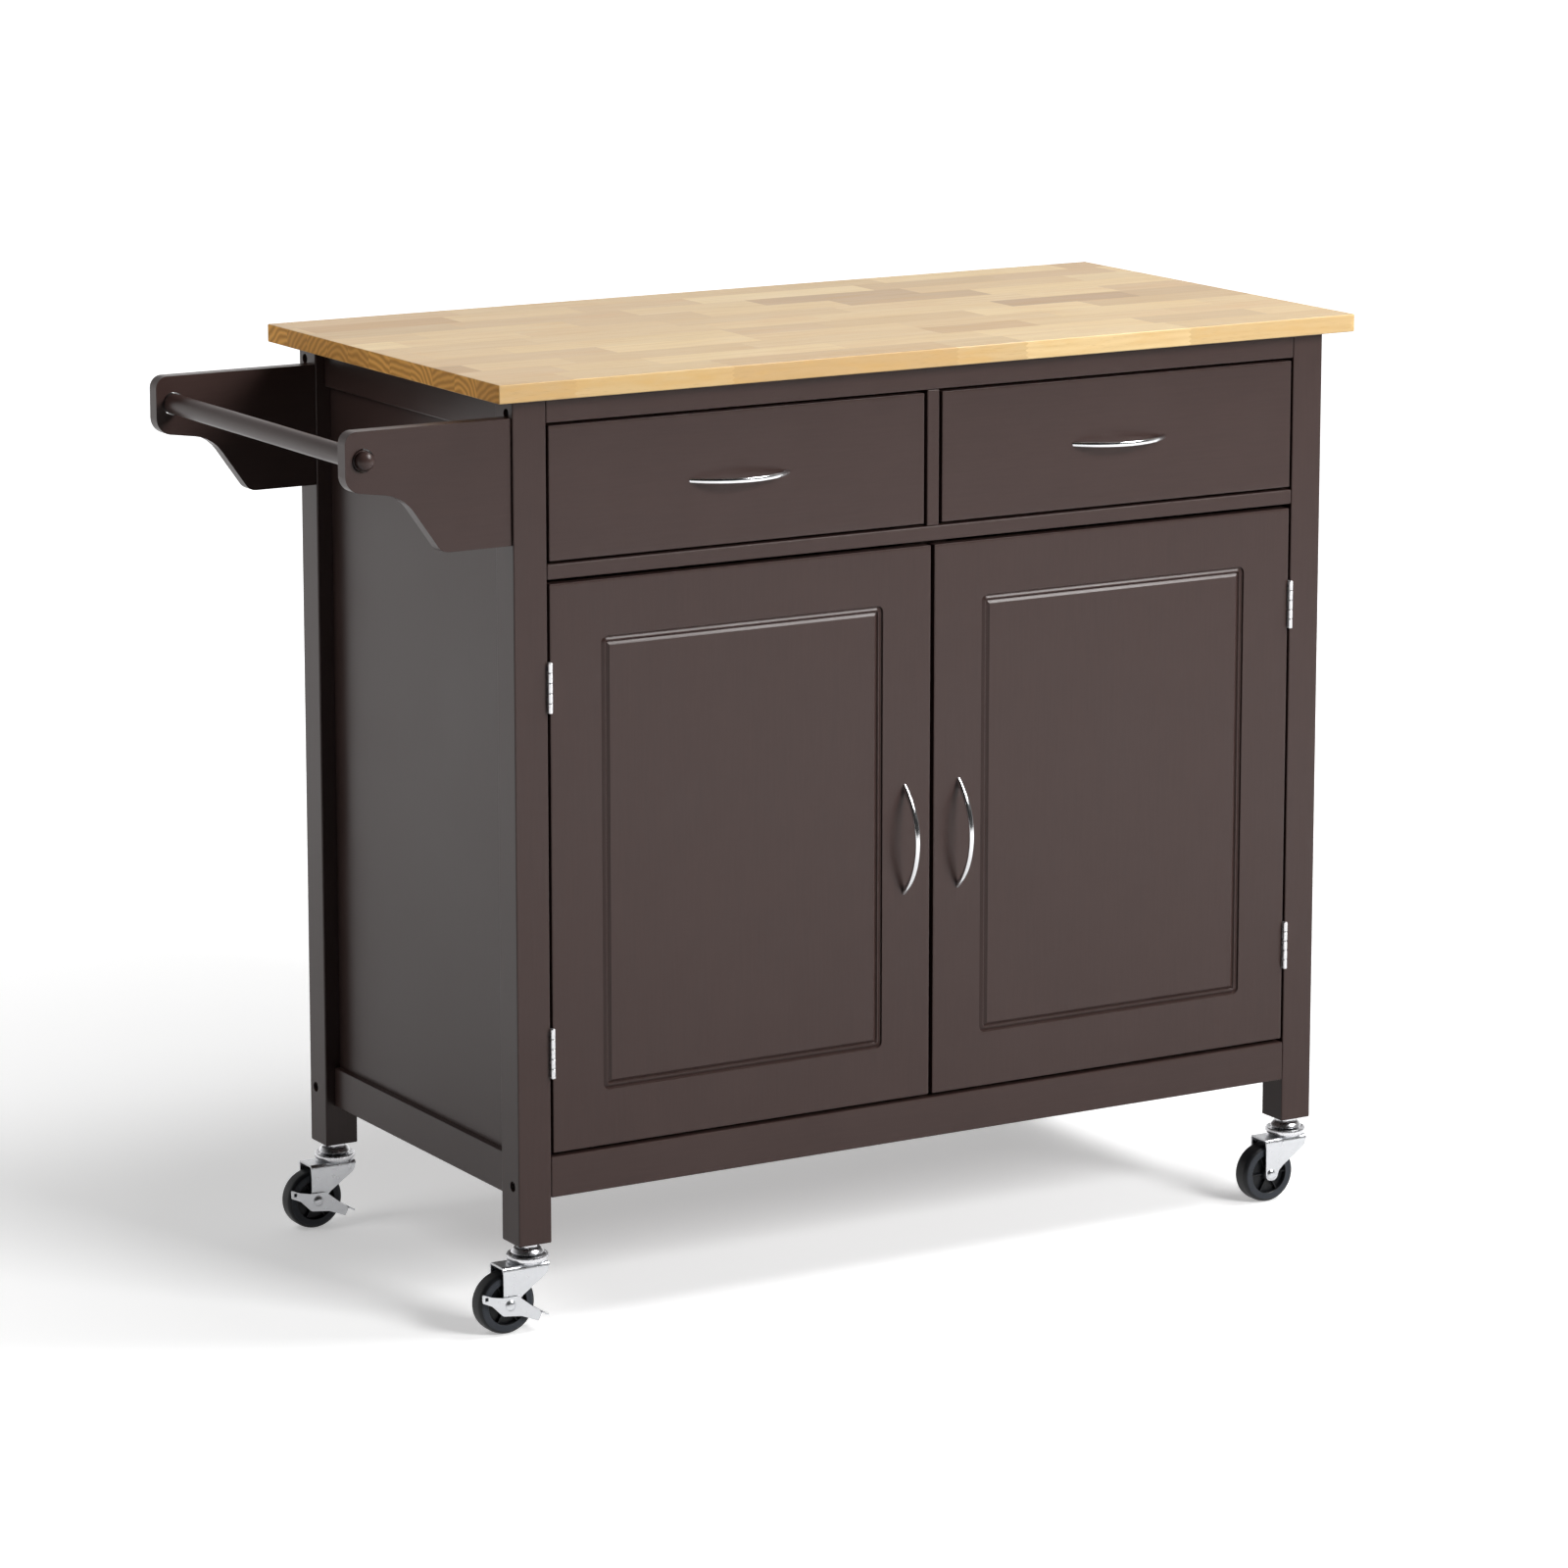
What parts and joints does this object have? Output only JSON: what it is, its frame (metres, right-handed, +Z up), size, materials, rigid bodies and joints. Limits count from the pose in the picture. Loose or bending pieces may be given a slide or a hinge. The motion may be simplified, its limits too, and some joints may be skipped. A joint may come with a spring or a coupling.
{
  "type": "kitchen island cart",
  "caption": "Rolling butcher block table: wooden top on a painted cabinet with drawers, cupboard doors, an end towel rail and swivel casters.",
  "frame": {"origin": "centre of the bounding box's base, on the floor that the wheels stand on", "axes": "+X along the top towards the end without the towel rail, +Y from the doors towards the back, +Z up"},
  "size_m": [1.1148, 0.4932, 0.9175],
  "materials": {
    "espresso_paint": "dark brown satin paint on wood and board",
    "butcher_block": "clear satin lacquer on glued staves",
    "drawer_wood": "plain sanded wood",
    "chrome": "polished",
    "zinc_plate": "bright zinc plate",
    "black_rubber": "satin black",
    "brown_plastic": "plain"
  },
  "bodies": {
    "cabinet": {"worktop": "butcher_block", "post_front_left": "espresso_paint", "post_front_right": "espresso_paint", "post_back_left": "espresso_paint", "post_back_right": "espresso_paint", "top_rail_front": "espresso_paint", "bottom_rail_front": "espresso_paint", "top_rail_back": "espresso_paint", "bottom_rail_back": "espresso_paint", "drawer_deck": "espresso_paint", "drawer_partition": "espresso_paint", "back_panel": "espresso_paint", "side_panel_left": "espresso_paint", "side_panel_right": "espresso_paint", "side_rail_lower_left": "espresso_paint", "side_rail_lower_right": "espresso_paint", "side_rail_upper_left": "espresso_paint", "side_rail_upper_right": "espresso_paint", "cabinet_floor": "espresso_paint", "shelf": "espresso_paint", "towel_bracket_front": "espresso_paint", "towel_bracket_back": "espresso_paint", "towel_bar": "espresso_paint", "drawer_guide_left": "drawer_wood", "drawer_guide_right": "drawer_wood", "door_catch": "brown_plastic", "door_left_hinge_upper_frame_leaf": "chrome", "door_left_hinge_lower_frame_leaf": "chrome", "door_right_hinge_upper_frame_leaf": "chrome", "door_right_hinge_lower_frame_leaf": "chrome", "caster_stem_front_left": "zinc_plate", "caster_stem_back_left": "zinc_plate", "caster_stem_front_right": "zinc_plate", "caster_stem_back_right": "zinc_plate"},
    "drawer_left": {"drawer_left_front": "espresso_paint", "drawer_left_box": "drawer_wood", "drawer_left_bottom": "drawer_wood", "drawer_left_handle": "chrome"},
    "drawer_right": {"drawer_right_front": "espresso_paint", "drawer_right_box": "drawer_wood", "drawer_right_bottom": "drawer_wood", "drawer_right_handle": "chrome"},
    "door_left": {"door_left_panel": "espresso_paint", "door_left_handle": "chrome", "door_left_hinge_upper_door_leaf": "chrome", "door_left_hinge_lower_door_leaf": "chrome"},
    "door_right": {"door_right_panel": "espresso_paint", "door_right_handle": "chrome", "door_right_hinge_upper_door_leaf": "chrome", "door_right_hinge_lower_door_leaf": "chrome"},
    "caster_front_left": {"caster_fork_front_left": "zinc_plate"},
    "wheel_front_left": {"caster_wheel_front_left": "black_rubber"},
    "brake_front_left": {"caster_brake_front_left": "zinc_plate"},
    "caster_back_left": {"caster_fork_back_left": "zinc_plate"},
    "wheel_back_left": {"caster_wheel_back_left": "black_rubber"},
    "brake_back_left": {"caster_brake_back_left": "zinc_plate"},
    "caster_front_right": {"caster_fork_front_right": "zinc_plate"},
    "wheel_front_right": {"caster_wheel_front_right": "black_rubber"},
    "caster_back_right": {"caster_fork_back_right": "zinc_plate"},
    "wheel_back_right": {"caster_wheel_back_right": "black_rubber"}
  },
  "joints": [
    {"name": "drawer_left_slide", "type": "slide", "parent": "cabinet", "child": "drawer_left", "axis": [0, -1, 0], "range_m": [0, 0.27]},
    {"name": "drawer_right_slide", "type": "slide", "parent": "cabinet", "child": "drawer_right", "axis": [0, -1, 0], "range_m": [0, 0.27]},
    {"name": "door_left_swing", "type": "hinge", "parent": "cabinet", "child": "door_left", "pos_m": [-0.34985, -0.22365, 0.4483], "axis": [0, 0, -1], "range_deg": [0, 170]},
    {"name": "door_right_swing", "type": "hinge", "parent": "cabinet", "child": "door_right", "pos_m": [0.49665, -0.22365, 0.4483], "axis": [0, 0, 1], "range_deg": [0, 170]},
    {"name": "caster_front_left_swivel", "type": "hinge", "parent": "cabinet", "child": "caster_front_left", "pos_m": [-0.3686, -0.20335, 0.07], "axis": [0, 0, 1], "continuous": true},
    {"name": "wheel_front_left_spin", "type": "hinge", "parent": "caster_front_left", "child": "wheel_front_left", "pos_m": [-0.3951, -0.20335, 0.03], "axis": [0, 1, 0], "continuous": true},
    {"name": "brake_front_left_press", "type": "hinge", "parent": "caster_front_left", "child": "brake_front_left", "pos_m": [-0.3951, -0.20335, 0.03], "axis": [0, 1, 0], "range_deg": [0, 12]},
    {"name": "caster_back_left_swivel", "type": "hinge", "parent": "cabinet", "child": "caster_back_left", "pos_m": [-0.3686, 0.20865, 0.07], "axis": [0, 0, 1], "continuous": true},
    {"name": "wheel_back_left_spin", "type": "hinge", "parent": "caster_back_left", "child": "wheel_back_left", "pos_m": [-0.3951, 0.20865, 0.03], "axis": [0, 1, 0], "continuous": true},
    {"name": "brake_back_left_press", "type": "hinge", "parent": "caster_back_left", "child": "brake_back_left", "pos_m": [-0.3951, 0.20865, 0.03], "axis": [0, 1, 0], "range_deg": [0, 12]},
    {"name": "caster_front_right_swivel", "type": "hinge", "parent": "cabinet", "child": "caster_front_right", "pos_m": [0.5154, -0.20335, 0.07], "axis": [0, 0, 1], "continuous": true},
    {"name": "wheel_front_right_spin", "type": "hinge", "parent": "caster_front_right", "child": "wheel_front_right", "pos_m": [0.4889, -0.20335, 0.03], "axis": [0, 1, 0], "continuous": true},
    {"name": "caster_back_right_swivel", "type": "hinge", "parent": "cabinet", "child": "caster_back_right", "pos_m": [0.5154, 0.20865, 0.07], "axis": [0, 0, 1], "continuous": true},
    {"name": "wheel_back_right_spin", "type": "hinge", "parent": "caster_back_right", "child": "wheel_back_right", "pos_m": [0.4889, 0.20865, 0.03], "axis": [0, 1, 0], "continuous": true}
  ]
}
